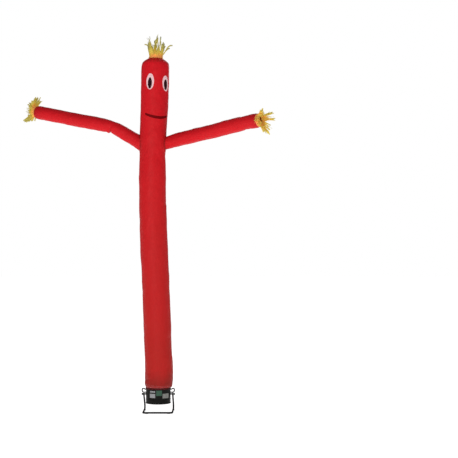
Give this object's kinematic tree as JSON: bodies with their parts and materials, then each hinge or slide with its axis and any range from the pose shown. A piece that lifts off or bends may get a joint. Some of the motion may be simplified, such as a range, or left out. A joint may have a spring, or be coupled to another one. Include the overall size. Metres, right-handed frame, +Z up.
{
  "type": "inflatable air dancer on a floor blower",
  "caption": "Tall red cloth tube figure with waving sleeves, a smiling face and yellow fringe hair and hands, blown up by a black drum blower on a bent tube stand.",
  "frame": {"origin": "on the floor, under the middle of the whole object's spread", "axes": "+Z up; -Y is the front, where the face looks; +X is the viewer's right"},
  "size_m": [4.3394, 2.157, 6.398],
  "materials": {
    "red_cloth": "woven nylon, slightly glossy",
    "yellow_cloth": "woven nylon strips",
    "white_cloth": "matt woven patch",
    "black_cloth": "matt woven patch",
    "maroon_cloth": "matt woven patch",
    "black_drum": "satin black paint",
    "black_stand": "satin black paint",
    "grey_metal": "satin dark grey paint",
    "black_plastic": "moulded, fine grain",
    "black_rubber": "moulded rubber",
    "white_label": "bare sticker",
    "green_label": "bare sticker"
  },
  "bodies": {
    "root": {"arm_left": "red_cloth", "arm_right": "red_cloth", "body_tube": "red_cloth", "cord_gland": "black_plastic", "drum": "black_drum", "eye_white_left": "white_cloth", "eye_white_right": "white_cloth", "foot_back_left": "black_rubber", "foot_back_right": "black_rubber", "foot_front_left": "black_rubber", "foot_front_right": "black_rubber", "fringe_hair": "yellow_cloth", "fringe_left_hand": "yellow_cloth", "fringe_right_hand": "yellow_cloth", "handle_left": "black_plastic", "handle_right": "black_plastic", "head_top": "red_cloth", "inlet_guard": "grey_metal", "knob_left": "black_plastic", "knob_right": "black_plastic", "label_green": "green_label", "label_left": "white_label", "label_right": "white_label", "label_strip": "white_label", "motor": "grey_metal", "mouth": "maroon_cloth", "pivot_boss_left": "black_drum", "pivot_boss_right": "black_drum", "pupil_left": "black_cloth", "pupil_right": "black_cloth", "stand": "black_stand"}
  },
  "joints": []
}
